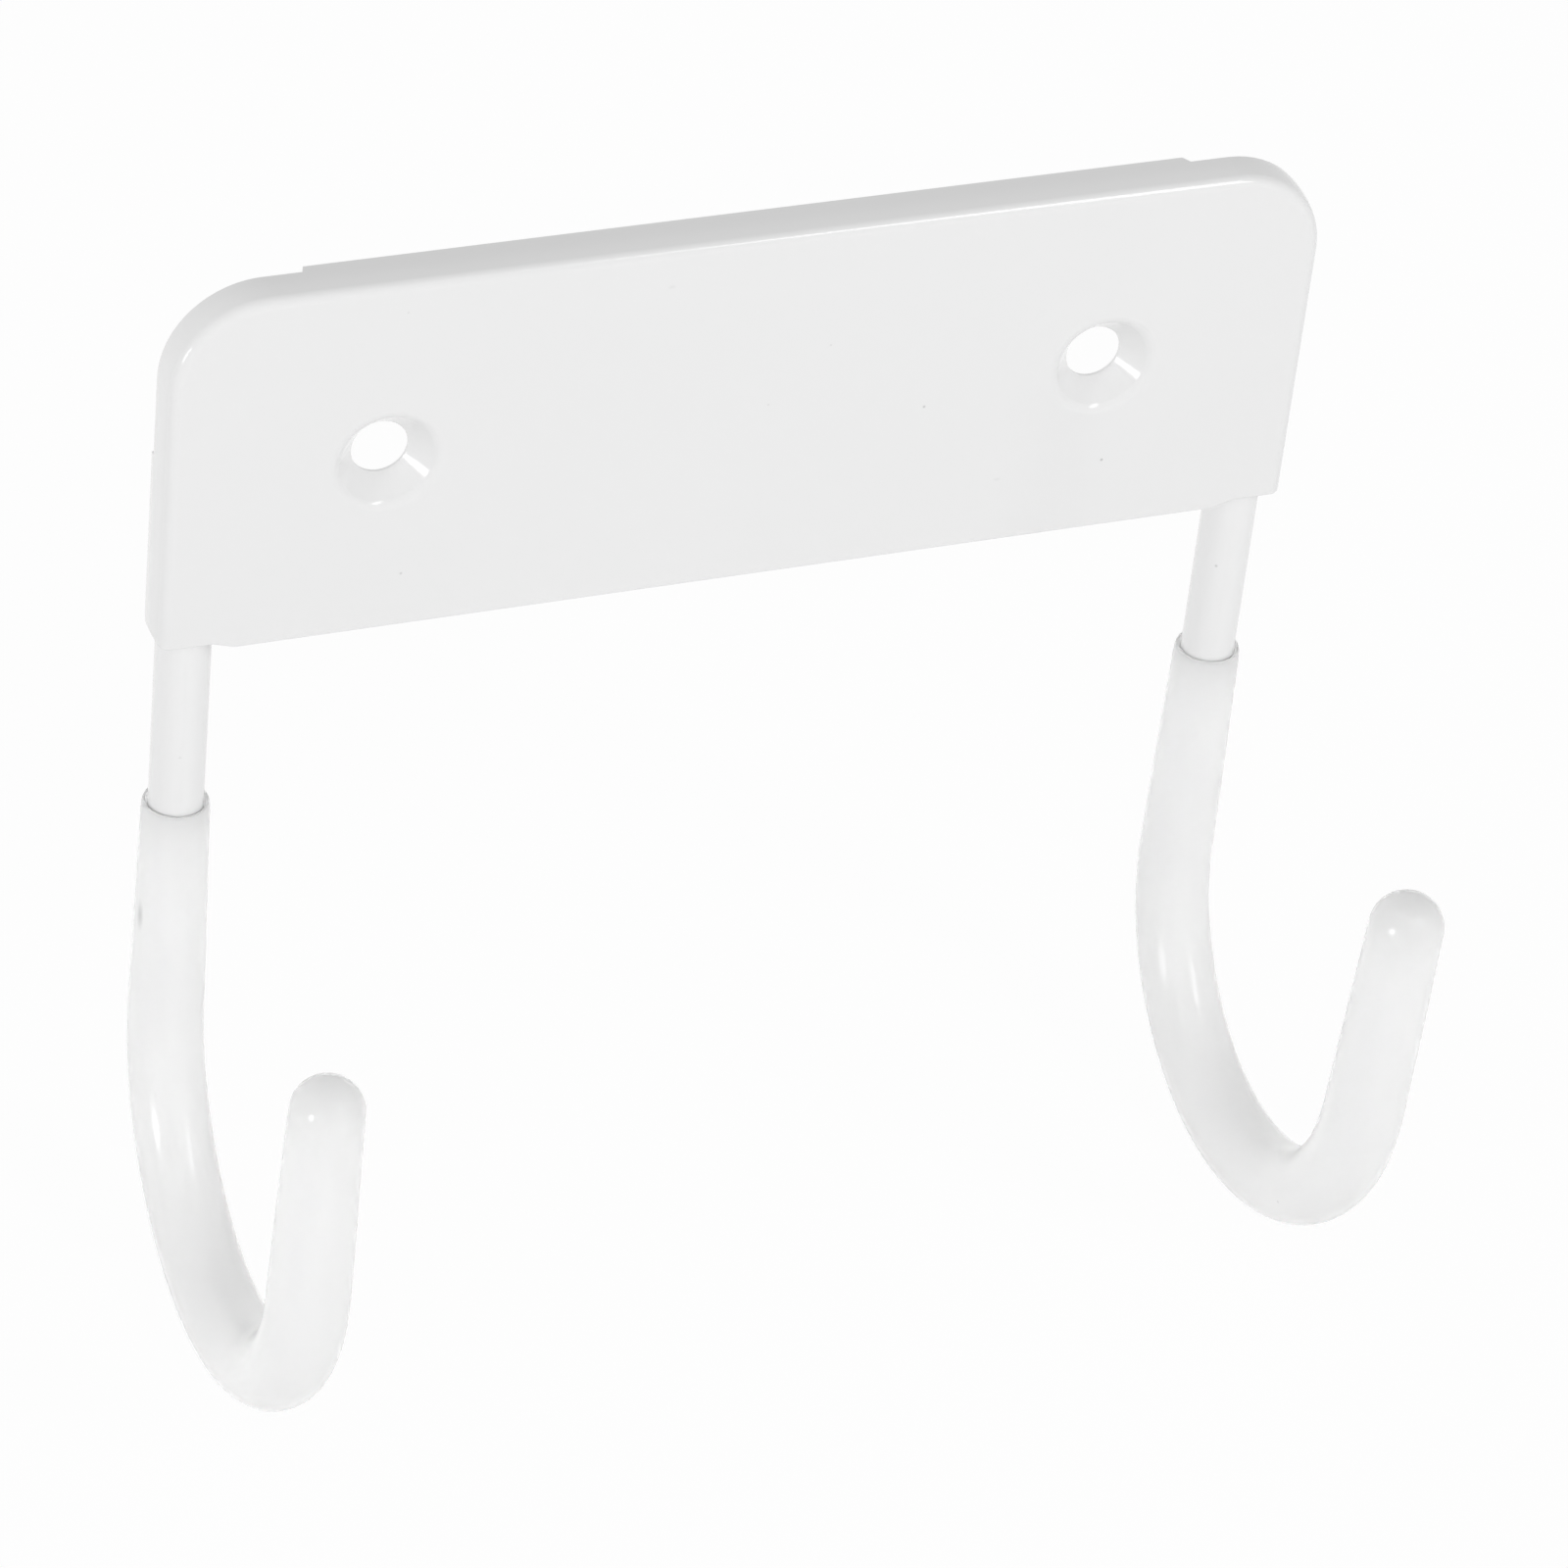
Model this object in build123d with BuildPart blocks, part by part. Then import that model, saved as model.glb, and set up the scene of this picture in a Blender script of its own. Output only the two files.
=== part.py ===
from build123d import *
import os
from math import atan2, cos, degrees, radians, sin, sqrt, tan

# Wall hanger for an ironing board: a pressed steel plate with two wire hooks in vinyl sleeves.
# Millimetres, +Z up, +X to the right seen from the front, +Y into the wall.
# The origin lies midway between the screw holes, where the back of their dimples faces the wall.

# Wall plate: one sheet, folded back along the top and both sides and open along the bottom
plate_width = 150.0
plate_height = 50.3
sheet = 1.2
corner_radius = 12.5
fold_inside = 0.15
wall_bulge = 12.0
flange_depth = 6.4
tab_rise = 1.45
top_tab_inset = 18.0
side_tab_height = 26.2
tab_end_slope = 20.0
heel_land = 2.4
edge_break = 0.3
cut_over = 0.1

# Lower edge: cut back a little where it crosses each wire, and round at the outer corners
edge_step = 0.85
step_lead = 1.5
step_ramp = 2.7
step_round = 1.2
corner_ease = 1.5

# Screw holes in pressed countersinks
hole_inset = 28.05
hole_height = 24.65
hole_diameter = 7.28
countersink_diameter = 13.0
countersink_angle = 80.0
hole_land = 0.4
dimple_root = 0.3

# Hooks: round wire, bent to a J in a plane square to the wall
wire_diameter = 7.0
weld_gap = 0.05
wire_end_gap = 0.8
run_length = 59.0
bend_radius = 27.2
cradle_radius = 33.2
tip_lean = 4.2
tip_length = 29.8
wire_chamfer = 0.5

# Vinyl sleeves: their wall is thicker in the bend than at the rim and the tip
sleeve_drop = 25.7
sleeve_fit = 0.05
rim_wall = 0.8
bend_wall = 1.5
tip_wall = 1.15
end_wall = 3.0
shoulder_height = 2.2
shoulder_round = 0.3
mouth_flare = 0.28
mouth_length = 1.5

# Levels and places that follow from the sizes above
half_angle = radians(countersink_angle / 2)
hole_spacing = plate_width - 2 * hole_inset
hole_radius = hole_diameter / 2
countersink_depth = (countersink_diameter / 2 - hole_radius) / tan(half_angle)
countersink_round = dimple_root + sheet
dimple_depth = countersink_depth + hole_land
dimple_back_radius = hole_radius - hole_land * tan(half_angle) + sheet / cos(half_angle)
bulge_angle = radians(wall_bulge)
fold_radius = fold_inside + sheet
fold_depth = fold_radius * (1 - sin(bulge_angle))
bulge_radius = (flange_depth - fold_depth) / (2 * sin(bulge_angle))
bulge_inside = bulge_radius - sheet
lip_width = fold_radius * cos(bulge_angle) + bulge_radius * (1 - cos(bulge_angle))
heel_radius = flange_depth - fold_radius - heel_land
side_x = plate_width / 2
plate_bottom = -hole_height
plate_top = plate_bottom + plate_height
front_y = -dimple_depth
rear_y = front_y + flange_depth
bulge_y = rear_y - bulge_radius * sin(bulge_angle)
face_x = side_x - lip_width
face_top = plate_top - lip_width
face_radius = corner_radius - lip_width
wire_radius = wire_diameter / 2
wire_y = front_y + sheet + weld_gap + wire_radius
wire_reach = sqrt((bulge_inside - weld_gap - wire_radius) ** 2 - (wire_y - bulge_y) ** 2)
wire_x = side_x - bulge_radius + wire_reach
wire_top = plate_top - corner_radius - wire_end_gap
bend_z = plate_bottom - run_length
rim_z = plate_bottom - sleeve_drop
bore_radius = wire_radius + sleeve_fit
mouth_radius = bore_radius + mouth_flare
mouth_taper = degrees(atan2(mouth_flare, mouth_length))
rim_radius = bore_radius + rim_wall
skin_radius = bore_radius + bend_wall
tip_radius = bore_radius + tip_wall
shoulder_z = rim_z - shoulder_height
run_swell = degrees(atan2(bend_wall - rim_wall, shoulder_z - bend_z))
tip_taper = degrees(atan2(bend_wall - tip_wall, tip_length))
bore_end = tip_radius - end_wall
wire_end = bore_end - sleeve_fit
past = 2 * sheet
step_x = wire_x - wire_radius - step_lead
step_z = plate_bottom + edge_step
outer_x = side_x + past
top_tab_length = plate_width - 2 * top_tab_inset
corner_width = outer_x - top_tab_length / 2
corner_height = plate_height - side_tab_height + past

front_plane = Plane.XZ.offset(-front_y)
rear_plane = Plane.XZ.offset(-rear_y)
lip_plane = Plane((face_x, front_y, plate_bottom), x_dir=(1, 0, 0), z_dir=(0, 0, 1))

os.makedirs("parts", exist_ok=True)


def hook_line(x, start_z, extra_tip=0.0):
    """Centre line of a hook: straight run, quarter bend, wider cradle arc and a tip that leans outward."""
    with BuildLine(Plane.YZ.offset(x)) as line:
        run = Line((wire_y, start_z), (wire_y, bend_z))
        bend = JernArc(run @ 1, run % 1, bend_radius, -90)
        cradle = JernArc(bend @ 1, bend % 1, cradle_radius, tip_lean - 90)
        PolarLine(cradle @ 1, tip_length + extra_tip, direction=cradle % 1)
    return line


def across(edge, place):
    """Plane square to an edge at a share of its length, with X kept sideways."""
    return Plane(edge @ place, x_dir=(1, 0, 0), z_dir=edge % place)


# Back plate
with BuildPart() as back_plate:
    # Pan: flat face, and a lip that folds back along the sides and the top in one slightly bulging wall
    with BuildSketch(front_plane) as face:
        with Locations((0, (face_top + plate_bottom) / 2)):
            Rectangle(2 * face_x, face_top - plate_bottom)
        fillet(face.vertices().group_by(Axis.Y)[-1], face_radius)
    extrude(amount=-sheet)
    with BuildLine(front_plane) as lip_line:
        FilletPolyline(
            (face_x, plate_bottom),
            (face_x, face_top),
            (-face_x, face_top),
            (-face_x, plate_bottom),
            radius=face_radius,
        )
    with BuildSketch(lip_plane):
        with BuildLine():
            fold = JernArc((0, 0), (1, 0), fold_radius, 90 - wall_bulge)
            JernArc(fold @ 1, fold % 1, bulge_radius, 2 * wall_bulge)
            offset(amount=sheet, side=Side.LEFT)
        make_face()
    sweep(path=lip_line.line)

    # Shallower lip round the top corners, between the top tab and the side tabs
    with BuildSketch(rear_plane):
        with GridLocations(top_tab_length + corner_width, 0, 2, 1):
            with Locations((0, plate_bottom + side_tab_height + corner_height / 2)):
                Rectangle(corner_width, corner_height)
    extrude(amount=tab_rise, taper=tab_end_slope, mode=Mode.SUBTRACT)

    # Lower edge, cut back over the wires, with round outer corners and heels, eased along its front
    with BuildSketch(front_plane) as step:
        with BuildLine():
            corner = TangentArc(
                (side_x - corner_ease, step_z), (side_x + cut_over, step_z + corner_ease), tangent=(1, 0)
            )
            Polyline(
                corner @ 1,
                (outer_x, step_z + corner_ease),
                (outer_x, plate_bottom - past),
                (step_x - past, plate_bottom - past),
                (step_x - past, plate_bottom),
                (step_x, plate_bottom),
                (step_x + step_ramp, step_z),
                corner @ 0,
            )
        make_face()
        fillet(step.vertices().sort_by(Axis.X)[2:4], step_round)
        mirror(about=Plane.YZ)
    extrude(amount=-flange_depth, mode=Mode.SUBTRACT)
    with BuildSketch(Plane.YZ):
        with BuildLine():
            heel = TangentArc(
                (rear_y - heel_radius, step_z), (rear_y + cut_over, step_z + heel_radius), tangent=(1, 0)
            )
            Polyline(heel @ 1, (rear_y + cut_over, step_z - past), heel @ 0)
        make_face()
    extrude(amount=outer_x, both=True, mode=Mode.SUBTRACT)
    front_face = back_plate.faces().filter_by(Axis.Y).sort_by(Axis.Y)[0]
    fillet(front_face.edges().sort_by(Axis.Z)[0], edge_break)

    # Pressed countersinks: the sheet follows the cone back to a flat land round each hole
    with BuildSketch(Plane.XZ):
        with GridLocations(hole_spacing, 0, 2, 1):
            Circle(dimple_back_radius)
    extrude(amount=dimple_depth - sheet / 2, taper=-countersink_angle / 2)
    roots = back_plate.edges(Select.LAST).filter_by(GeomType.CIRCLE).group_by(Axis.Y)[0]
    fillet(roots, dimple_root)
    with Locations(front_plane):
        with GridLocations(hole_spacing, 0, 2, 1):
            CounterSinkHole(hole_radius, countersink_diameter / 2, counter_sink_angle=countersink_angle)
    rims = back_plate.edges(Select.LAST).filter_by(GeomType.CIRCLE).group_by(Axis.Y)[0]
    fillet(rims, countersink_round)
back_plate.part.label = "back_plate"
export_step(back_plate.part, "parts/back_plate.step")

for side, x in (("left", -wire_x), ("right", wire_x)):
    # Hook: one wire, from its lap behind the plate to its end inside the sleeve
    with BuildPart() as hook:
        wire_line = hook_line(x, wire_top, wire_end).line
        with BuildSketch(across(wire_line, 0)):
            Circle(wire_radius)
        sweep(path=wire_line)
        chamfer(hook.edges().group_by(Axis.Z)[-1], wire_chamfer)
    hook.part.label = f"{side}_hook"
    export_step(hook.part, f"parts/{side}_hook.step")

    # Sleeve: a skin that swells towards the bend, with a rounded rim, a round end and a bore for the wire
    with BuildPart() as sleeve:
        skin_line = hook_line(x, shoulder_z)
        run, bend, cradle, tip = skin_line.edges()
        with BuildSketch(across(run, 0)):
            Circle(rim_radius)
        extrude(amount=run.length, taper=-run_swell)
        with BuildSketch(across(bend, 0)):
            Circle(skin_radius)
        sweep(path=[bend, cradle])
        with BuildSketch(across(tip, 0)):
            Circle(skin_radius)
        extrude(amount=tip_length, taper=tip_taper)
        with Locations(tip @ 1):
            Sphere(tip_radius)
        with BuildSketch(Plane.XZ.offset(-wire_y)):
            with BuildLine():
                shoulder = TangentArc(
                    (x + rim_radius, shoulder_z), (x + rim_radius - shoulder_round, rim_z), tangent=(0, 1)
                )
                Polyline(shoulder @ 1, (x, rim_z), (x, shoulder_z), shoulder @ 0)
            make_face()
        revolve(axis=Axis((x, wire_y, 0), (0, 0, 1)))
        bore_line = hook_line(x, rim_z, bore_end).line
        with BuildSketch(across(bore_line, 0)):
            Circle(bore_radius)
        sweep(path=bore_line, mode=Mode.SUBTRACT)
        with BuildSketch(across(bore_line, 0)):
            Circle(mouth_radius)
        extrude(amount=mouth_length, taper=mouth_taper, mode=Mode.SUBTRACT)
    sleeve.part.label = f"{side}_sleeve"
    export_step(sleeve.part, f"parts/{side}_sleeve.step")
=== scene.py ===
"""Looks of a white wall hanger for an ironing board.

A pressed plate carries two bent wire hooks, each in a vinyl sleeve.
"""

import logging
import math
from dataclasses import dataclass
from enum import Enum

import bpy
import numpy as np
from bpy.types import Material, Mesh, Node, NodeSocket, NodeTree, Object
from mathutils import Matrix, Vector

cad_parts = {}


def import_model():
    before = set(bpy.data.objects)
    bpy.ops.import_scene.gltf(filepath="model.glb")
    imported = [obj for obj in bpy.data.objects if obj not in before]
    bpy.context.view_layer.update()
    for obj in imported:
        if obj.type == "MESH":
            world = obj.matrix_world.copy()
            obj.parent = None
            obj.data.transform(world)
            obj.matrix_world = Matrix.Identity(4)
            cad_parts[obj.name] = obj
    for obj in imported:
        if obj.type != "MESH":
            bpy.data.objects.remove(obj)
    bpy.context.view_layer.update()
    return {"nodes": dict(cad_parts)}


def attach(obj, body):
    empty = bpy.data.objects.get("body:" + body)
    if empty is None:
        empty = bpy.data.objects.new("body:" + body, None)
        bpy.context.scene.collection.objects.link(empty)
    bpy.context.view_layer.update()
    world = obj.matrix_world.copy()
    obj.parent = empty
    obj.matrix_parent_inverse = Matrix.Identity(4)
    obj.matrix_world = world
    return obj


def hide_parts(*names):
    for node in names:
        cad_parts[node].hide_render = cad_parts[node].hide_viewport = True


log = logging.getLogger("hanger")

MM = 0.001
BODY = "root"

Point = tuple[float, float, float]
Colour = tuple[float, float, float, float]
Outline = list[tuple[float, float]]

WHITE: Colour = (1.0, 1.0, 1.0, 1.0)


class Side(Enum):
    """The two hooks, by the sign of their place along X."""

    LEFT = -1
    RIGHT = 1

    @property
    def word(self) -> str:
        """Name of the side as the nodes write it."""
        return self.name.lower()


class Trees:
    """Small helpers for wiring node trees."""

    @staticmethod
    def node(tree: NodeTree, kind: str, **settings: object) -> Node:
        """Add a node and set its properties.

        Args:
            tree: Tree that gets the node.
            kind: Blender's type name of the node.
            settings: Property values of the node.

        Returns:
            The new node.
        """
        made = tree.nodes.new(kind)
        for name, value in settings.items():
            setattr(made, name, value)
        return made

    @staticmethod
    def feed(tree: NodeTree, socket: NodeSocket, value: object) -> None:
        """Link an output to a socket, or set the socket's own value.

        Args:
            tree: Tree that holds both.
            socket: Input to feed.
            value: An output socket, or a plain value.
        """
        if isinstance(value, NodeSocket):
            tree.links.new(value, socket)
        else:
            socket.default_value = value

    @classmethod
    def math(cls, tree: NodeTree, operation: str, *values: object) -> NodeSocket:
        """Add a Math node.

        Args:
            tree: Tree that gets the node.
            operation: Name of the operation.
            values: Inputs, each a number or an output socket.

        Returns:
            The node's value output.
        """
        made = cls.node(tree, "ShaderNodeMath", operation=operation)
        for socket, value in zip(made.inputs, values):
            cls.feed(tree, socket, value)
        return made.outputs["Value"]

    @classmethod
    def whole(cls, tree: NodeTree, operation: str, *values: object) -> NodeSocket:
        """Add an Integer Math node.

        Args:
            tree: Tree that gets the node.
            operation: Name of the operation.
            values: Inputs, each a whole number or an output socket.

        Returns:
            The node's value output.
        """
        made = cls.node(tree, "FunctionNodeIntegerMath", operation=operation)
        for socket, value in zip(made.inputs, values):
            cls.feed(tree, socket, value)
        return made.outputs["Value"]

    @classmethod
    def vector(cls, tree: NodeTree, operation: str, *values: object) -> NodeSocket:
        """Add a Vector Math node.

        Args:
            tree: Tree that gets the node.
            operation: Name of the operation.
            values: Vector inputs, with a scale factor last where the operation is SCALE.

        Returns:
            The node's vector output.
        """
        made = cls.node(tree, "ShaderNodeVectorMath", operation=operation)
        sockets = [made.inputs[0], made.inputs["Scale"]] if operation == "SCALE" else made.inputs
        for socket, value in zip(sockets, values):
            cls.feed(tree, socket, value)
        return made.outputs["Vector"]


@dataclass(frozen=True)
class Mark:
    """A grey speck or smudge on a surface.

    Its middle and its half-lengths are in millimetres. Its shade is the share of brightness that
    it takes there.
    """

    place: Point
    reach: Point
    shade: float

    def wire(self, tree: NodeTree, place: NodeSocket) -> NodeSocket:
        """Wire the mark as a soft spot.

        Args:
            tree: Material tree that gets the nodes.
            place: Coordinates of the shaded point, in metres.

        Returns:
            The mark's shade at that point.
        """
        away = Trees.vector(tree, "SUBTRACT", place, tuple(value * MM for value in self.place))
        steps = Trees.vector(tree, "DIVIDE", away, tuple(value * MM for value in self.reach))
        far = Trees.node(tree, "ShaderNodeVectorMath", operation="LENGTH")
        Trees.feed(tree, far.inputs[0], steps)
        fade = Trees.node(tree, "ShaderNodeMapRange", interpolation_type="SMOOTHSTEP")
        Trees.feed(tree, fade.inputs["Value"], far.outputs["Value"])
        fade.inputs["To Min"].default_value = self.shade
        fade.inputs["To Max"].default_value = 0.0
        return fade.outputs["Result"]


# Half-lengths of the marks and level of the plate's front face, in millimetres
SPECK: Point = (0.3, 0.3, 0.3)
DOT: Point = (0.25, 0.25, 0.25)
FAINT_PATCH: Point = (0.7, 0.7, 0.4)
SCUFF: Point = (0.7, 0.9, 3.0)
FACE_Y = -3.81

PLATE_MARKS = (
    Mark((-44.34, FACE_Y, -16.90), SPECK, 0.22),
    Mark((48.53, FACE_Y, -14.45), SPECK, 0.4),
    Mark((23.04, FACE_Y, -2.54), SPECK, 0.32),
    Mark((9.51, FACE_Y, 8.62), DOT, 0.12),
    Mark((2.02, FACE_Y, 0.93), DOT, 0.12),
    Mark((-45.65, FACE_Y, 21.31), DOT, 0.1),
    Mark((-12.19, FACE_Y, 20.15), FAINT_PATCH, 0.06),
    Mark((34.27, FACE_Y, -15.23), FAINT_PATCH, 0.06),
)
WIRE_MARKS = (
    Mark((68.13, -1.89, -35.42), SPECK, 0.3),
    Mark((-71.0, -2.46, -41.35), SPECK, 0.1),
)
SLEEVE_MARKS = (
    Mark((-74.58, -0.36, -66.95), SCUFF, 0.25),
    Mark((65.25, -50.58, -102.35), SPECK, 0.3),
)


@dataclass(frozen=True)
class Finish:
    """A white surface with faint clouds in its colour and gloss, a shallow skin and a few marks."""

    name: str
    brightness: float
    roughness: float
    clouds_per_metre: float = 30.0
    cloud_share: float = 0.02
    gloss_per_metre: float = 90.0
    gloss_share: float = 0.3
    skin_per_metre: float = 450.0
    skin_depth: float = 0.002 * MM
    marks: tuple[Mark, ...] = ()

    @staticmethod
    def noise(tree: NodeTree, place: NodeSocket, per_metre: float) -> NodeSocket:
        """Add a noise texture.

        Args:
            tree: Material tree that gets the node.
            place: Coordinates that it reads.
            per_metre: Number of its waves in a metre.

        Returns:
            The noise, from 0 to 1.
        """
        made = Trees.node(tree, "ShaderNodeTexNoise")
        Trees.feed(tree, made.inputs["Vector"], place)
        made.inputs["Scale"].default_value = per_metre
        return made.outputs["Fac"]

    @staticmethod
    def vary(tree: NodeTree, value: float, share: float, noise: NodeSocket) -> NodeSocket:
        """Let a value wander a little.

        Args:
            tree: Material tree that gets the node.
            value: Middle of the range.
            share: Whole width of the range, as a share of the value.
            noise: What moves it, from 0 to 1.

        Returns:
            The varied value.
        """
        return Trees.math(tree, "MULTIPLY_ADD", noise, value * share, value * (1 - share / 2))

    def material(self) -> Material:
        """Build the finish.

        Returns:
            The new material.
        """
        made = bpy.data.materials.new(self.name)
        made.use_nodes = True
        tree = made.node_tree
        shader = tree.nodes["Principled BSDF"]
        place = Trees.node(tree, "ShaderNodeTexCoord").outputs["Object"]
        clouds = self.noise(tree, place, self.clouds_per_metre)
        bright = self.vary(tree, self.brightness, self.cloud_share, clouds)
        for mark in self.marks:
            kept = Trees.math(tree, "SUBTRACT", 1.0, mark.wire(tree, place))
            bright = Trees.math(tree, "MULTIPLY", bright, kept)
        Trees.feed(tree, shader.inputs["Base Color"], bright)
        gloss = self.noise(tree, place, self.gloss_per_metre)
        rough = self.vary(tree, self.roughness, self.gloss_share, gloss)
        Trees.feed(tree, shader.inputs["Roughness"], rough)
        skin = Trees.node(tree, "ShaderNodeBump")
        skin.inputs["Distance"].default_value = self.skin_depth
        Trees.feed(tree, skin.inputs["Height"], self.noise(tree, place, self.skin_per_metre))
        Trees.feed(tree, shader.inputs["Normal"], skin.outputs["Normal"])
        self.deepen(shader)
        return made

    def deepen(self, shader: Node) -> None:
        """Set what light does below the surface: nothing, on paint."""


@dataclass(frozen=True)
class Vinyl(Finish):
    """Soft white vinyl, which light enters a little way."""

    scatter_share: float = 1.0
    scatter_rgb: Point = (1.0, 1.0, 1.0)
    scatter_depth: float = 18.0 * MM

    def deepen(self, shader: Node) -> None:
        """Let light spread below the surface.

        Args:
            shader: The finish's Principled shader.
        """
        shader.subsurface_method = "BURLEY"
        shader.inputs["Subsurface Weight"].default_value = self.scatter_share
        shader.inputs["Subsurface Radius"].default_value = self.scatter_rgb
        shader.inputs["Subsurface Scale"].default_value = self.scatter_depth


PLATE_PAINT = Finish("plate_paint", brightness=0.865, roughness=0.12, marks=PLATE_MARKS)
WIRE_PAINT = Finish("wire_paint", brightness=0.895, roughness=0.12, marks=WIRE_MARKS)
SLEEVE_VINYL = Vinyl("vinyl", brightness=0.835, roughness=0.15, marks=SLEEVE_MARKS)


class PolyCurve:
    """Curve objects that only carry points into the bending tree."""

    @staticmethod
    def make(name: str, places: list[Point]) -> Object:
        """Lay points out as a curve object.

        Args:
            name: Name of the object.
            places: Its points, in millimetres.

        Returns:
            The new object, in metres.
        """
        data = bpy.data.curves.new(name, "CURVE")
        data.dimensions = "3D"
        spline = data.splines.new("POLY")
        spline.points.add(len(places) - 1)
        for point, (x, y, z) in zip(spline.points, places):
            point.co = (x * MM, y * MM, z * MM, 1.0)
        made = bpy.data.objects.new(name, data)
        bpy.context.scene.collection.objects.link(made)
        return made

    @staticmethod
    def remove(made: Object) -> None:
        """Take a curve object and its points out of the scene.

        Args:
            made: The object.
        """
        data = made.data
        bpy.data.objects.remove(made)
        bpy.data.curves.remove(data)


@dataclass(frozen=True)
class HookLine:
    """Centre line of a hook in its own upright plane.

    It has a straight run, a quarter bend, a wider cradle arc and a tip that leans outward. All
    sizes are in millimetres, and the line starts at the wire's top end.
    """

    wire_x: float = 70.186
    wire_y: float = 0.9416
    top_z: float = 12.35
    bend_z: float = -83.65
    bend_radius: float = 27.2
    cradle_radius: float = 33.2
    tip_lean: float = 4.2
    tip_length: float = 29.8
    spare_tip: float = 6.0
    steps: int = 96

    @property
    def run(self) -> float:
        """Length of the straight run."""
        return self.top_z - self.bend_z

    @property
    def cradle_start(self) -> float:
        """Distance along the line to the lowest point."""
        return self.run + self.bend_radius * math.pi / 2

    @property
    def cradle_turn(self) -> float:
        """Angle of the cradle arc, in radians."""
        return math.radians(90 - self.tip_lean)

    @property
    def tip_start(self) -> float:
        """Distance along the line to the straight tip."""
        return self.cradle_start + self.cradle_radius * self.cradle_turn

    @property
    def tip_end(self) -> float:
        """Distance along the line to the centre of the sleeve's round end."""
        return self.tip_start + self.tip_length

    def points(self) -> Outline:
        """Line as points in its plane.

        Returns:
            Points as (Y, Z), from the wire's top end to past the tip.
        """
        y, z = self.wire_y, self.bend_z
        bend, cradle = self.bend_radius, self.cradle_radius
        found = [(y, self.top_z), (y, z)]
        centre_y = y - bend
        for step in range(1, self.steps + 1):
            turn = math.pi / 2 * step / self.steps
            found.append((centre_y + bend * math.cos(turn), z - bend * math.sin(turn)))
        centre_z = z - bend + cradle
        for step in range(1, self.steps + 1):
            turn = self.cradle_turn * step / self.steps
            found.append((centre_y - cradle * math.sin(turn), centre_z - cradle * math.cos(turn)))
        lean = math.radians(self.tip_lean)
        reach = self.tip_length + self.spare_tip
        last_y, last_z = found[-1]
        found.append((last_y - reach * math.sin(lean), last_z + reach * math.cos(lean)))
        return found

    def curve(self, side: Side) -> Object:
        """Lay the line out as a curve object that the bending tree follows.

        Args:
            side: Hook that the line belongs to.

        Returns:
            A curve object, in metres, that is removed once the tube is made.
        """
        x = side.value * self.wire_x
        return PolyCurve.make(f"{side.word}_line", [(x, y, z) for y, z in self.points()])


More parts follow.
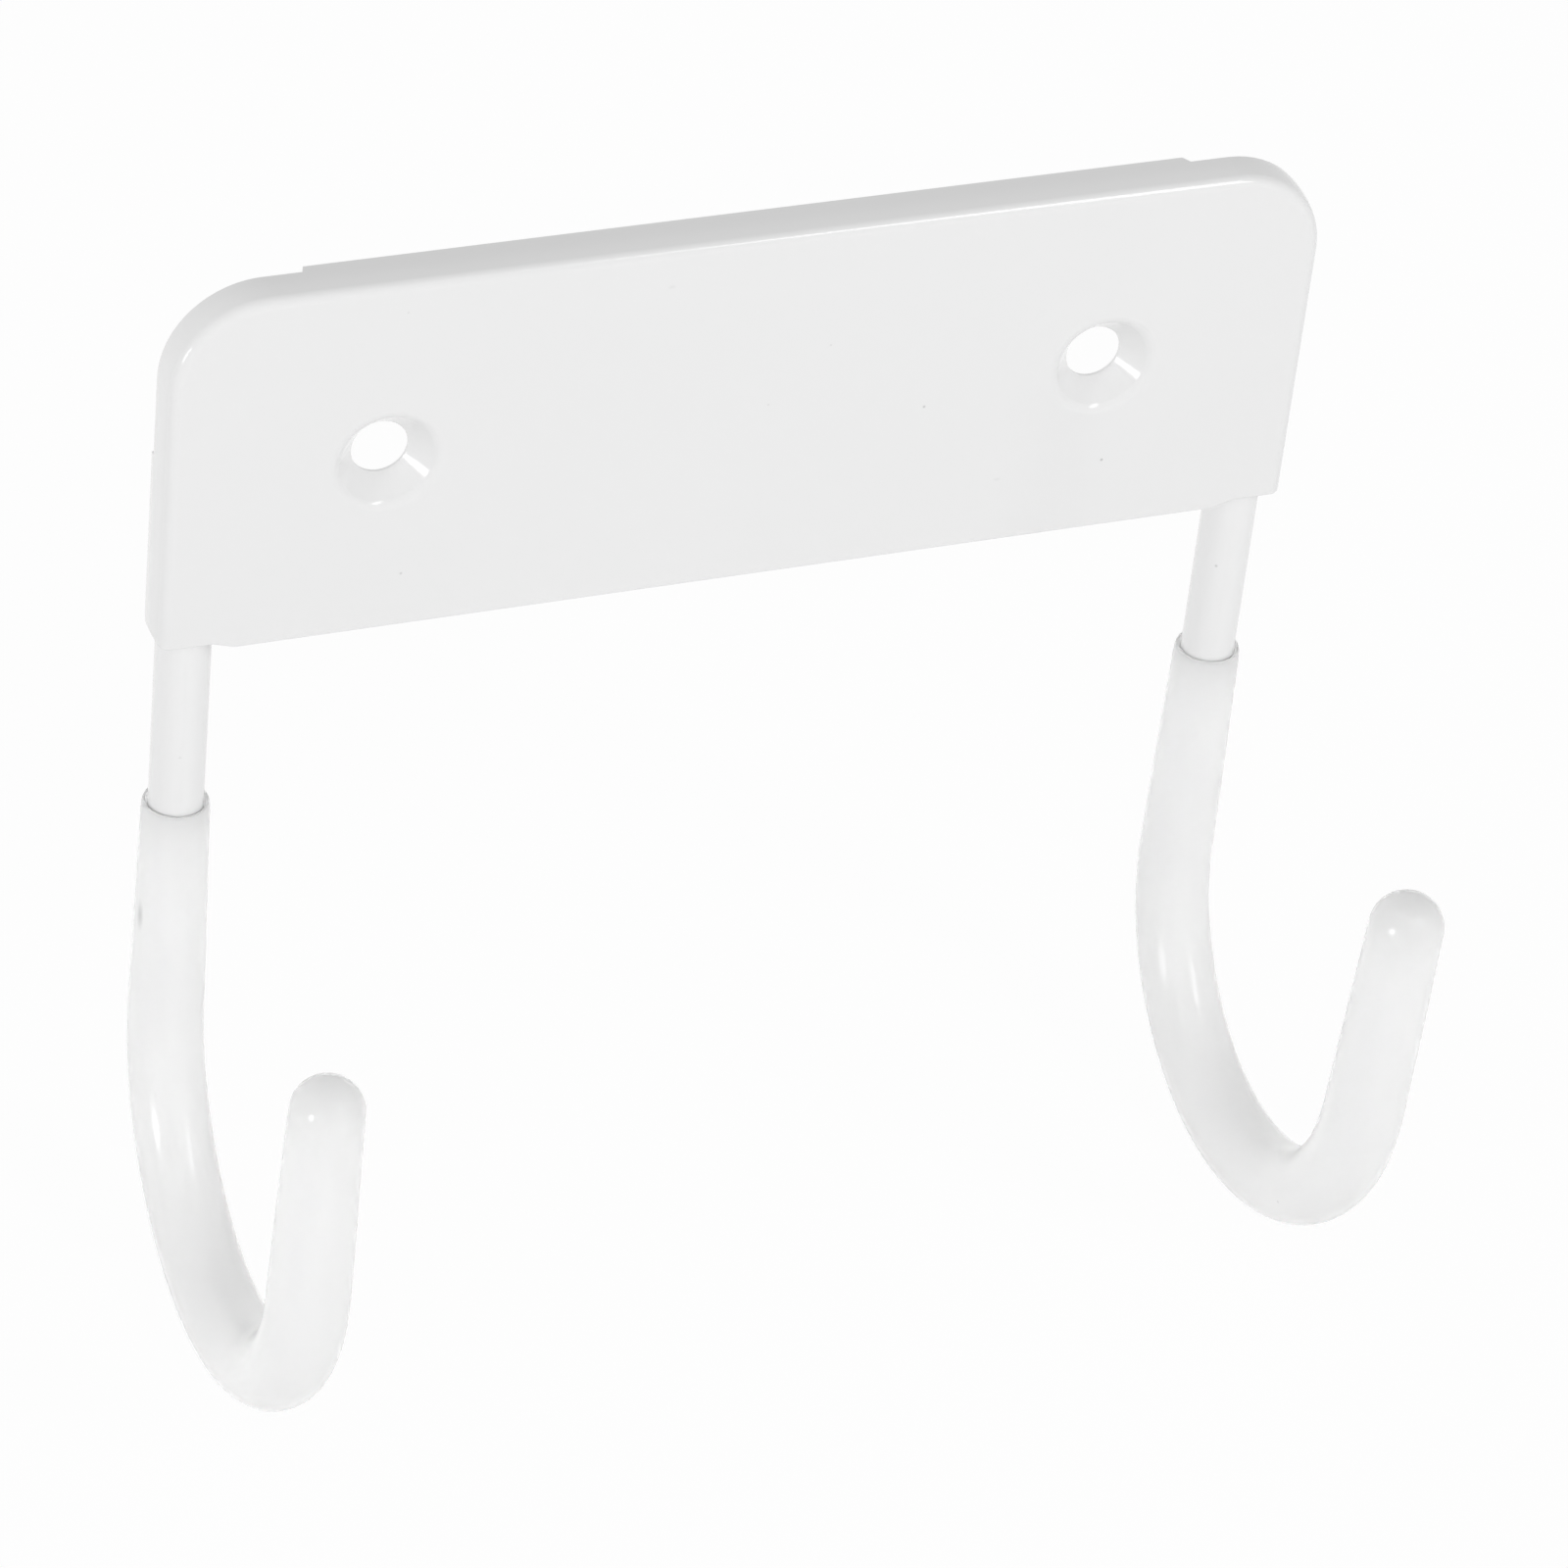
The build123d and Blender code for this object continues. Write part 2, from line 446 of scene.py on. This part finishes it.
class BentTube:
    """Geometry Nodes tree that turns a profile round a line, for wires and sleeves alike."""

    SEAM_GAP = 0.001 * MM
    LUMP_DETAIL = 1.0
    NOISE_MIDDLE = 0.5
    SIDEWAYS: Point = (1.0, 0.0, 0.0)

    def __init__(self) -> None:
        """Build the tree once, for all tubes."""
        self.tree = bpy.data.node_groups.new("bent_tube", "GeometryNodeTree")
        face = self.tree.interface
        face.new_socket("Geometry", in_out="OUTPUT", socket_type="NodeSocketGeometry")
        for name, kind in (
            ("Geometry", "NodeSocketGeometry"),
            ("Line", "NodeSocketObject"),
            ("Around", "NodeSocketInt"),
            ("Lump Height", "NodeSocketFloat"),
            ("Lumps per Metre", "NodeSocketFloat"),
            ("Seed", "NodeSocketFloat"),
            ("Finish", "NodeSocketMaterial"),
        ):
            face.new_socket(name, in_out="INPUT", socket_type=kind)
        self._wire()

    def _wire(self) -> None:
        """Wire a grid whose rows follow the profile and whose columns go round the line."""
        tree = self.tree
        given = Trees.node(tree, "NodeGroupInput").outputs
        line = Trees.node(tree, "GeometryNodeObjectInfo", transform_space="ORIGINAL")
        Trees.feed(tree, line.inputs["Object"], given["Line"])
        rows = Trees.node(tree, "GeometryNodeAttributeDomainSize", component="CURVE")
        Trees.feed(tree, rows.inputs["Geometry"], given["Geometry"])
        columns = Trees.whole(tree, "ADD", given["Around"], 1)
        grid = Trees.node(tree, "GeometryNodeMeshGrid")
        Trees.feed(tree, grid.inputs["Vertices X"], rows.outputs["Point Count"])
        Trees.feed(tree, grid.inputs["Vertices Y"], columns)
        index = Trees.node(tree, "GeometryNodeInputIndex").outputs["Index"]
        place = Trees.node(tree, "GeometryNodeInputPosition").outputs["Position"]
        row = Trees.whole(tree, "DIVIDE_FLOOR", index, columns)
        column = Trees.whole(tree, "MODULO", index, columns)
        profile = Trees.node(
            tree, "GeometryNodeSampleIndex", data_type="FLOAT_VECTOR", domain="POINT"
        )
        Trees.feed(tree, profile.inputs["Geometry"], given["Geometry"])
        Trees.feed(tree, profile.inputs["Value"], place)
        Trees.feed(tree, profile.inputs["Index"], row)
        parts = Trees.node(tree, "ShaderNodeSeparateXYZ")
        Trees.feed(tree, parts.inputs["Vector"], profile.outputs["Value"])
        radius, along = parts.outputs["X"], parts.outputs["Z"]
        spot = Trees.node(tree, "GeometryNodeSampleCurve", mode="LENGTH", use_all_curves=True)
        Trees.feed(tree, spot.inputs["Curves"], line.outputs["Geometry"])
        Trees.feed(tree, spot.inputs["Length"], along)
        share = Trees.math(tree, "DIVIDE", column, given["Around"])
        turn = Trees.math(tree, "MULTIPLY", share, math.tau)
        upright = Trees.vector(tree, "CROSS_PRODUCT", spot.outputs["Tangent"], self.SIDEWAYS)
        lumps = Trees.node(tree, "ShaderNodeTexNoise", noise_dimensions="4D")
        Trees.feed(tree, lumps.inputs["W"], given["Seed"])
        Trees.feed(tree, lumps.inputs["Scale"], given["Lumps per Metre"])
        lumps.inputs["Detail"].default_value = self.LUMP_DETAIL
        across = Trees.math(tree, "MULTIPLY", radius, Trees.math(tree, "COSINE", turn))
        rise = Trees.math(tree, "MULTIPLY", radius, Trees.math(tree, "SINE", turn))
        offset = Trees.vector(
            tree,
            "ADD",
            Trees.vector(tree, "SCALE", self.SIDEWAYS, across),
            Trees.vector(tree, "SCALE", upright, rise),
        )
        skin = Trees.vector(tree, "ADD", spot.outputs["Position"], offset)
        Trees.feed(tree, lumps.inputs["Vector"], skin)
        swing = Trees.math(tree, "SUBTRACT", lumps.outputs["Fac"], self.NOISE_MIDDLE)
        bulge = Trees.math(tree, "MULTIPLY", swing, given["Lump Height"])
        outward = Trees.vector(tree, "NORMALIZE", offset)
        lumpy = Trees.vector(tree, "ADD", skin, Trees.vector(tree, "SCALE", outward, bulge))
        laid = Trees.node(tree, "GeometryNodeSetPosition")
        Trees.feed(tree, laid.inputs["Geometry"], grid.outputs["Mesh"])
        Trees.feed(tree, laid.inputs["Position"], lumpy)
        closed = Trees.node(tree, "GeometryNodeMergeByDistance")
        Trees.feed(tree, closed.inputs["Geometry"], laid.outputs["Geometry"])
        closed.inputs["Distance"].default_value = self.SEAM_GAP
        smooth = Trees.node(tree, "GeometryNodeSetShadeSmooth")
        Trees.feed(tree, smooth.inputs["Geometry"], closed.outputs["Geometry"])
        real = Trees.node(tree, "GeometryNodeRealizeInstances")
        Trees.feed(tree, real.inputs["Geometry"], smooth.outputs["Geometry"])
        dressed = Trees.node(tree, "GeometryNodeSetMaterial")
        Trees.feed(tree, dressed.inputs["Geometry"], real.outputs["Geometry"])
        Trees.feed(tree, dressed.inputs["Material"], given["Finish"])
        out = Trees.node(tree, "NodeGroupOutput")
        Trees.feed(tree, out.inputs["Geometry"], dressed.outputs["Geometry"])

    def make(self, name: str, profile: Outline, line: Object, **values: object) -> Object:
        """Turn a profile round a line and keep the result as a plain mesh.

        Args:
            name: Name of the new piece.
            profile: Points as (radius, distance along the line), in millimetres, axis to axis.
            line: Curve object that the tube follows.
            values: The tree's other inputs, by name, with spaces written as underscores.

        Returns:
            The new mesh object, at the origin.
        """
        places = [(radius, 0.0, along) for radius, along in profile]
        holder = PolyCurve.make(f"{name}_profile", places)
        modifier = holder.modifiers.new("bend", "NODES")
        modifier.node_group = self.tree
        given = {key.replace("_", " "): value for key, value in values.items()}
        given["Line"] = line
        for item in self.tree.interface.items_tree:
            if item.in_out == "INPUT" and item.name in given:
                modifier[item.identifier] = given[item.name]
        graph = bpy.context.evaluated_depsgraph_get()
        mesh = bpy.data.meshes.new_from_object(holder.evaluated_get(graph))
        PolyCurve.remove(holder)
        mesh.name = name
        if signed_volume(mesh) < 0:
            mesh.flip_normals()
        made = bpy.data.objects.new(name, mesh)
        bpy.context.scene.collection.objects.link(made)
        return made


def signed_volume(mesh: Mesh) -> float:
    """Volume of a closed mesh, negative where its faces point inwards.

    Args:
        mesh: Closed mesh.

    Returns:
        Volume in cubic metres.
    """
    mesh.calc_loop_triangles()
    corners = np.zeros(len(mesh.loop_triangles) * 3, np.int32)
    mesh.loop_triangles.foreach_get("vertices", corners)
    places = np.zeros(len(mesh.vertices) * 3, np.float32)
    mesh.vertices.foreach_get("co", places)
    a, b, c = places.reshape(-1, 3)[corners.reshape(-1, 3)].transpose(1, 0, 2).astype(float)
    return float(np.einsum("ij,ij->i", a, np.cross(b, c)).sum() / 6)


def smooth_through(knots: Outline, places: np.ndarray) -> np.ndarray:
    """Even curve through given knots.

    Args:
        knots: (place, value) pairs in order of place.
        places: Where the curve is read.

    Returns:
        The curve's values there.
    """
    xs, ys = (np.array(part, float) for part in zip(*knots))
    slopes = np.gradient(ys, xs)
    cell = np.clip(np.searchsorted(xs, places) - 1, 0, len(xs) - 2)
    width = xs[cell + 1] - xs[cell]
    t = (places - xs[cell]) / width
    return (
        (2 * t**3 - 3 * t**2 + 1) * ys[cell]
        + (t**3 - 2 * t**2 + t) * width * slopes[cell]
        + (3 * t**2 - 2 * t**3) * ys[cell + 1]
        + (t**3 - t**2) * width * slopes[cell + 1]
    )


@dataclass
class Plate:
    """Pressed wall plate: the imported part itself, in its own finish."""

    node: str = "back_plate"

    def build(self, nodes: dict[str, Object], paint: Material) -> Object:
        """Paint the plate.

        Args:
            nodes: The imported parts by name.
            paint: Its finish.

        Returns:
            The plate.
        """
        made = nodes[self.node]
        made.data.materials.clear()
        made.data.materials.append(paint)
        return made


@dataclass
class Hook:
    """One bent wire, from its welded end behind the plate to its end inside the sleeve."""

    side: Side
    line: HookLine
    radius: float = 3.5
    chamfer: float = 0.5
    end_past_tip: float = 1.65
    around: int = 64
    step: float = 1.0

    def profile(self) -> Outline:
        """Trace the wire's outline.

        Returns:
            Points as (radius, distance along the line), in millimetres.
        """
        end = self.line.tip_end + self.end_past_tip
        count = round((end - self.chamfer) / self.step)
        body = [(self.radius, float(s)) for s in np.linspace(self.chamfer, end, count)]
        return [(0.0, 0.0), (self.radius - self.chamfer, 0.0), *body, (0.0, end)]

    def build(self, tube: BentTube, paint: Material) -> Object:
        """Make the wire and put it in its node's place.

        Args:
            tube: Tree that bends it.
            paint: Its finish.

        Returns:
            The new piece.
        """
        guide = self.line.curve(self.side)
        name = f"{self.side.word}_wire"
        made = tube.make(name, self.profile(), guide, Around=self.around, Finish=paint)
        PolyCurve.remove(guide)
        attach(made, BODY)
        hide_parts(f"{self.side.word}_hook")
        return made


@dataclass(frozen=True)
class RoundEnd:
    """Round end of a sleeve: its radius and how much further out it sits, in millimetres."""

    radius: float
    longer: float = 0.0


ROUND_ENDS = {Side.LEFT: RoundEnd(4.6), Side.RIGHT: RoundEnd(4.75, longer=0.9)}


@dataclass
class Sleeve:
    """Vinyl sleeve on a hook: open rim, wall that swells in the bend, closed round end."""

    side: Side
    line: HookLine
    tip: RoundEnd
    rim_at: float = 62.7
    bore_radius: float = 3.55
    mouth_radius: float = 3.83
    mouth_length: float = 1.5
    rim_inset: float = 0.3
    rim_radius: float = 4.35
    shoulder: float = 2.2
    run_radius: float = 4.85
    bend_radius: float = 5.15
    bore_past_tip: float = 1.7
    around: int = 96
    step: float = 1.0
    rim_steps: int = 8
    dome_steps: int = 24
    lump_height: float = 0.06 * MM
    lumps_per_metre: float = 60.0

    def profile(self) -> Outline:
        """Trace the sleeve's outline, from the bore's end round the rim to the tip.

        Returns:
            Points as (radius, distance along the line), in millimetres.
        """
        line = self.line
        bore_end = line.tip_end + self.bore_past_tip
        mouth = self.rim_at + self.mouth_length
        inside = np.linspace(bore_end, mouth, round((bore_end - mouth) / self.step))
        points = [(0.0, bore_end)]
        points += [(self.bore_radius, float(s)) for s in inside]
        points.append((self.mouth_radius, self.rim_at))
        points.append((self.rim_radius - self.rim_inset, self.rim_at))
        for turn in np.linspace(0, math.pi / 2, self.rim_steps + 1)[1:]:
            radius = self.rim_radius - self.rim_inset * (1 - math.sin(turn))
            points.append((radius, self.rim_at + self.shoulder * (1 - math.cos(turn))))
        start = self.rim_at + self.shoulder
        end = line.tip_end + self.tip.longer
        tip = self.tip.radius
        knots = [
            (start, self.rim_radius),
            (line.run, self.run_radius),
            (line.cradle_start, self.bend_radius),
            (line.tip_start, self.bend_radius),
            (end, tip),
        ]
        places = np.linspace(start, end, round((end - start) / self.step))[1:]
        points += [(float(r), float(s)) for r, s in zip(smooth_through(knots, places), places)]
        for turn in np.linspace(0, math.pi / 2, self.dome_steps + 1)[1:-1]:
            points.append((tip * math.cos(turn), end + tip * math.sin(turn)))
        points.append((0.0, end + tip))
        return points

    def build(self, tube: BentTube, vinyl: Material) -> Object:
        """Make the sleeve and put it in its node's place.

        Args:
            tube: Tree that bends it.
            vinyl: Its finish.

        Returns:
            The new piece.
        """
        guide = self.line.curve(self.side)
        made = tube.make(
            f"{self.side.word}_vinyl",
            self.profile(),
            guide,
            Around=self.around,
            Lump_Height=self.lump_height,
            Lumps_per_Metre=self.lumps_per_metre,
            Seed=float(self.side.value),
            Finish=vinyl,
        )
        PolyCurve.remove(guide)
        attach(made, BODY)
        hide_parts(f"{self.side.word}_sleeve")
        return made


@dataclass(frozen=True)
class Softbox:
    """A studio lamp with an oblong face that points at the hanger, in metres and watts."""

    name: str
    direction: Point
    width: float
    height: float
    power: float
    distance: float = 1.4

    def place(self, aim: Vector) -> None:
        """Hang the lamp.

        Args:
            aim: Point it faces.
        """
        data = bpy.data.lights.new(self.name, "AREA")
        data.shape = "RECTANGLE"
        data.size, data.size_y = self.width, self.height
        data.energy = self.power
        made = bpy.data.objects.new(self.name, data)
        made.visible_camera = False
        towards = Vector(self.direction).normalized()
        made.location = aim + towards * self.distance
        made.rotation_mode = "QUATERNION"
        made.rotation_quaternion = (-towards).to_track_quat("-Z", "Y")
        bpy.context.scene.collection.objects.link(made)


@dataclass(frozen=True)
class Lobe:
    """Soft light from one side of the surroundings."""

    direction: Point
    strength: float


@dataclass(frozen=True)
class Glow:
    """Light of the white surroundings, blended from broad lobes."""

    lobes: tuple[Lobe, ...] = (
        Lobe((0.0, -1.0, 0.0), 0.93),
        Lobe((-0.77, -0.64, 0.0), 0.7),
        Lobe((0.77, -0.64, 0.0), 1.12),
        Lobe((0.0, 0.0, 1.0), 0.42),
        Lobe((0.0, 1.0, 0.0), 0.8),
        Lobe((-0.77, 0.64, 0.0), 1.2),
    )
    sharpness: float = 3.0

    def strength(self, tree: NodeTree) -> NodeSocket:
        """Blend the lobes into one smooth glow.

        Args:
            tree: World tree that gets the nodes.

        Returns:
            Strength of the light from each direction.
        """
        towards = Trees.node(tree, "ShaderNodeTexCoord").outputs["Generated"]
        total: float | NodeSocket = 0.0
        for lobe in self.lobes:
            dot = Trees.node(tree, "ShaderNodeVectorMath", operation="DOT_PRODUCT")
            Trees.feed(tree, dot.inputs[0], towards)
            Trees.feed(tree, dot.inputs[1], Vector(lobe.direction).normalized())
            facing = Trees.math(tree, "MAXIMUM", dot.outputs["Value"], 0.0)
            soft = Trees.math(tree, "POWER", facing, self.sharpness)
            total = Trees.math(tree, "MULTIPLY_ADD", soft, lobe.strength, total)
        return total


@dataclass
class Studio:
    """Camera, pale floor, white surroundings and lamps.

    Values whose names end in mm are in millimetres, other lengths in metres, and angles in degrees.
    """

    camera_mm: Point = (-286.084, -657.653, 476.356)
    heading: float = 24.351
    pitch: float = 36.716
    roll: float = 6.428
    focal_px: float = 7124.574
    frame_px: float = 1600.0
    sensor_mm: float = 36.0
    clip_near: float = 0.01
    clip_far: float = 50.0
    floor_mm: float = -116.1
    floor_size: float = 4.0
    floor_colour: Colour = (0.92, 0.92, 0.92, 1.0)
    floor_white: float = 0.96
    glow: Glow = Glow()
    aim_mm: Point = (0.0, -25.0, -40.0)
    lamps: tuple[Softbox, ...] = (
        Softbox("high_lamp", (0.43, -0.64, 0.64), width=0.22, height=0.7, power=2.8),
        Softbox("left_lamp", (-0.91, -0.39, 0.12), width=0.34, height=0.34, power=3.0),
    )

    def camera(self) -> None:
        """Set the camera at the photograph's viewing angle."""
        data = bpy.data.cameras.new("camera")
        data.sensor_width = self.sensor_mm
        data.lens = self.focal_px / self.frame_px * self.sensor_mm
        data.clip_start, data.clip_end = self.clip_near, self.clip_far
        made = bpy.data.objects.new("camera", data)
        made.matrix_world = (
            Matrix.Translation(Vector(self.camera_mm) * MM)
            @ Matrix.Rotation(-math.radians(self.heading), 4, "Z")
            @ Matrix.Rotation(math.radians(90 - self.pitch), 4, "X")
            @ Matrix.Rotation(math.radians(self.roll), 4, "Z")
        )
        bpy.context.scene.collection.objects.link(made)
        bpy.context.scene.camera = made

    @staticmethod
    def seen_directly(tree: NodeTree) -> NodeSocket:
        """Tell rays that show the surroundings from rays that only carry light.

        Args:
            tree: Tree that gets the nodes.

        Returns:
            1 for camera, glossy and transmission rays, otherwise 0.
        """
        path = Trees.node(tree, "ShaderNodeLightPath").outputs
        mirrored = Trees.math(tree, "MAXIMUM", path["Is Glossy Ray"], path["Is Transmission Ray"])
        return Trees.math(tree, "MAXIMUM", path["Is Camera Ray"], mirrored)

    def floor(self) -> None:
        """Lay the pale floor under the hooks."""
        half = self.floor_size / 2
        z = self.floor_mm * MM
        mesh = bpy.data.meshes.new("floor")
        corners = [(-half, -half, z), (half, -half, z), (half, half, z), (-half, half, z)]
        mesh.from_pydata(corners, [], [(0, 1, 2, 3)])
        material = bpy.data.materials.new("floor")
        material.use_nodes = True
        tree = material.node_tree
        tree.nodes.clear()
        matte = Trees.node(tree, "ShaderNodeBsdfDiffuse")
        matte.inputs["Color"].default_value = self.floor_colour
        white = Trees.node(tree, "ShaderNodeEmission")
        mix = Trees.node(tree, "ShaderNodeMixShader")
        share = Trees.math(tree, "MULTIPLY", self.seen_directly(tree), self.floor_white)
        Trees.feed(tree, mix.inputs[0], share)
        Trees.feed(tree, mix.inputs[1], matte.outputs[0])
        Trees.feed(tree, mix.inputs[2], white.outputs[0])
        out = Trees.node(tree, "ShaderNodeOutputMaterial")
        Trees.feed(tree, out.inputs["Surface"], mix.outputs[0])
        mesh.materials.append(material)
        made = bpy.data.objects.new("floor", mesh)
        bpy.context.scene.collection.objects.link(made)

    def surroundings(self) -> None:
        """White background, with a softer light from all round."""
        world = bpy.data.worlds.new("surroundings")
        world.use_nodes = True
        bpy.context.scene.world = world
        tree = world.node_tree
        back = tree.nodes["Background"]
        back.inputs["Color"].default_value = WHITE
        glow = self.glow.strength(tree)
        span = Trees.math(tree, "SUBTRACT", 1.0, glow)
        strength = Trees.math(tree, "MULTIPLY_ADD", span, self.seen_directly(tree), glow)
        Trees.feed(tree, back.inputs["Strength"], strength)

    def build(self) -> None:
        """Set up everything around the hanger."""
        self.camera()
        self.floor()
        self.surroundings()
        for lamp in self.lamps:
            lamp.place(Vector(self.aim_mm) * MM)
        bpy.context.scene.view_settings.view_transform = "Standard"


def main() -> None:
    """Build the hanger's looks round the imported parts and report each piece."""
    logging.basicConfig(level=logging.INFO, format="%(message)s")
    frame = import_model()
    Studio().build()
    plate_paint = PLATE_PAINT.material()
    wire_paint = WIRE_PAINT.material()
    vinyl = SLEEVE_VINYL.material()
    plate = Plate().build(frame["nodes"], plate_paint)
    log.info("%s: %d faces", plate.name, len(plate.data.polygons))
    tube = BentTube()
    line = HookLine()
    for side in Side:
        wire = Hook(side, line).build(tube, wire_paint)
        sleeve = Sleeve(side, line, ROUND_ENDS[side]).build(tube, vinyl)
        for made in (wire, sleeve):
            log.info("%s: %d faces", made.name, len(made.data.polygons))


if __name__ == "__main__":
    main()
